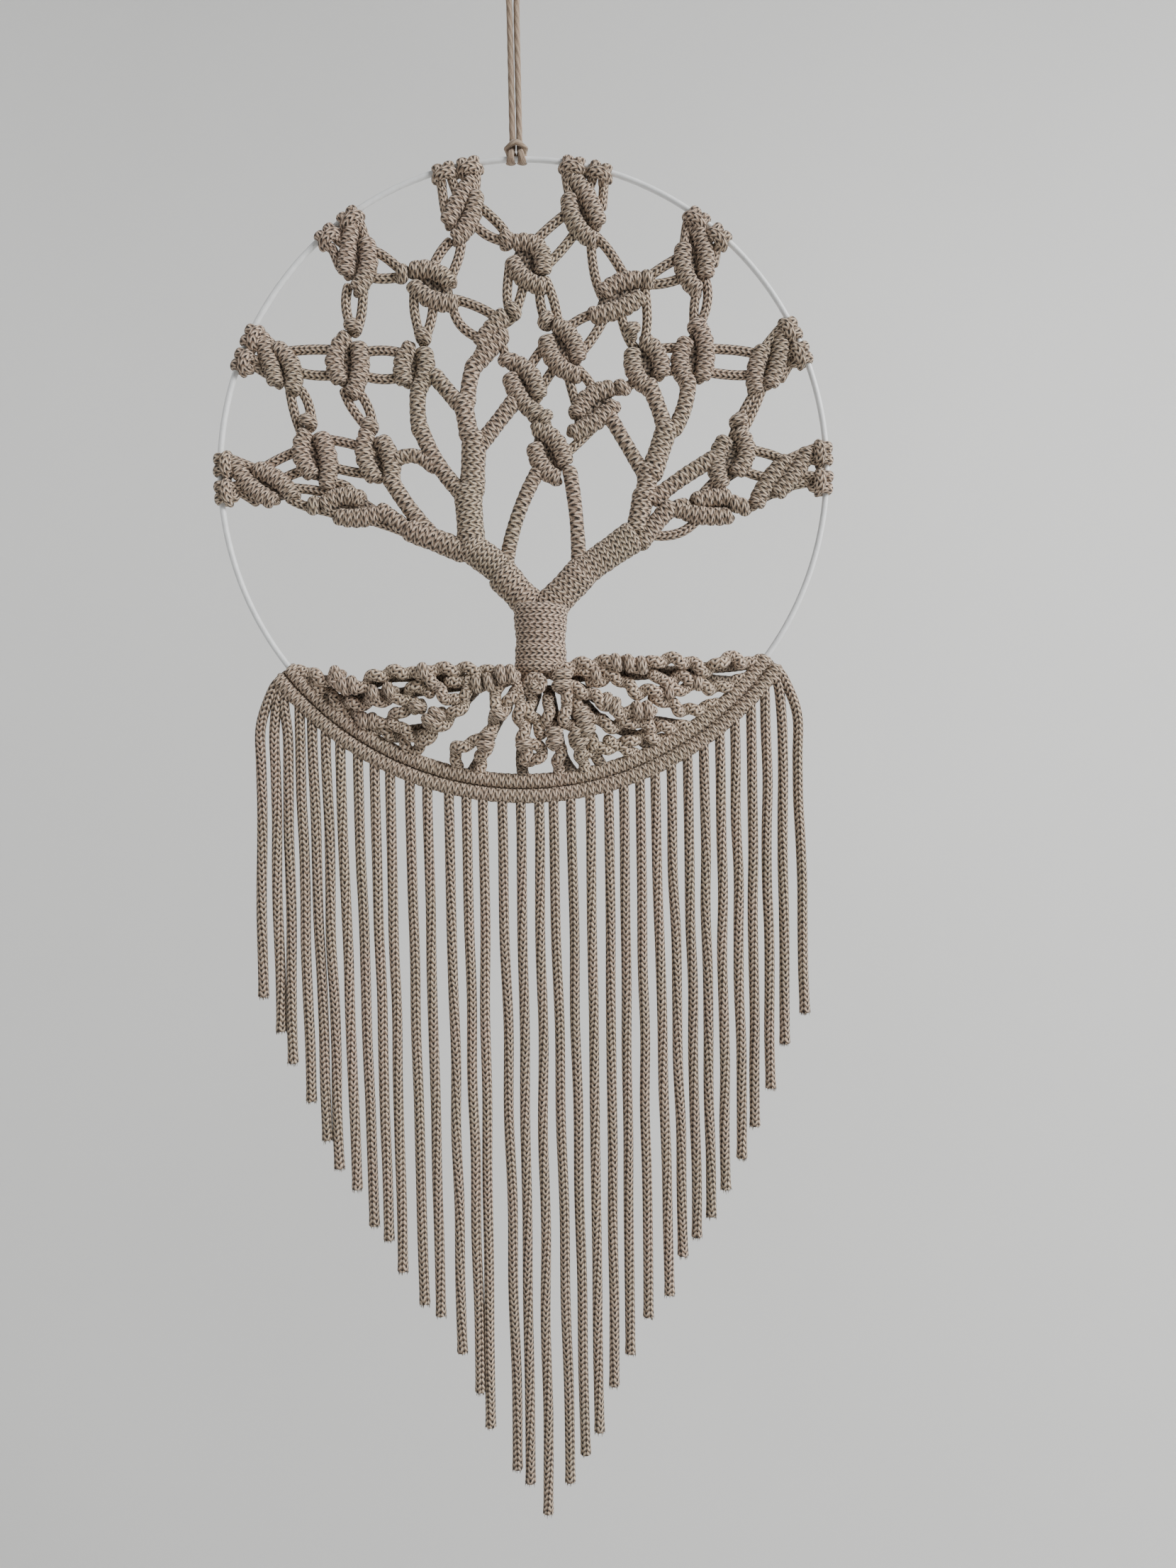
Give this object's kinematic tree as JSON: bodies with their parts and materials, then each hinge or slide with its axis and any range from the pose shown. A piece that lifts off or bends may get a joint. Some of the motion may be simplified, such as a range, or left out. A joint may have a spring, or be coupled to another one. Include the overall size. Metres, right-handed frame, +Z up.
{
  "type": "macrame dreamcatcher with hoop",
  "caption": "Macrame dreamcatcher: a white wire hoop holding a knotted tree of cotton cord, with knotted roots, a pointed fringe and a string hanging loop.",
  "frame": {"origin": "the point inside the top of the hanging loop, where it rests on its nail", "axes": "+Z up, +X to the right seen from the front, +Y towards the wall, so the front faces -Y"},
  "size_m": [0.3054, 0.0245, 0.7874],
  "materials": {
    "painted_wire": "smooth white paint on steel wire",
    "cotton_cord": "matt braided cotton, undyed warm beige",
    "cotton_string": "matt twisted cotton string"
  },
  "bodies": {
    "root": {"hoop": "painted_wire", "hanging_loop": "cotton_string", "loop_hitch": "cotton_string", "tree": "cotton_cord", "roots": "cotton_cord", "fringe": "cotton_cord"}
  },
  "joints": []
}
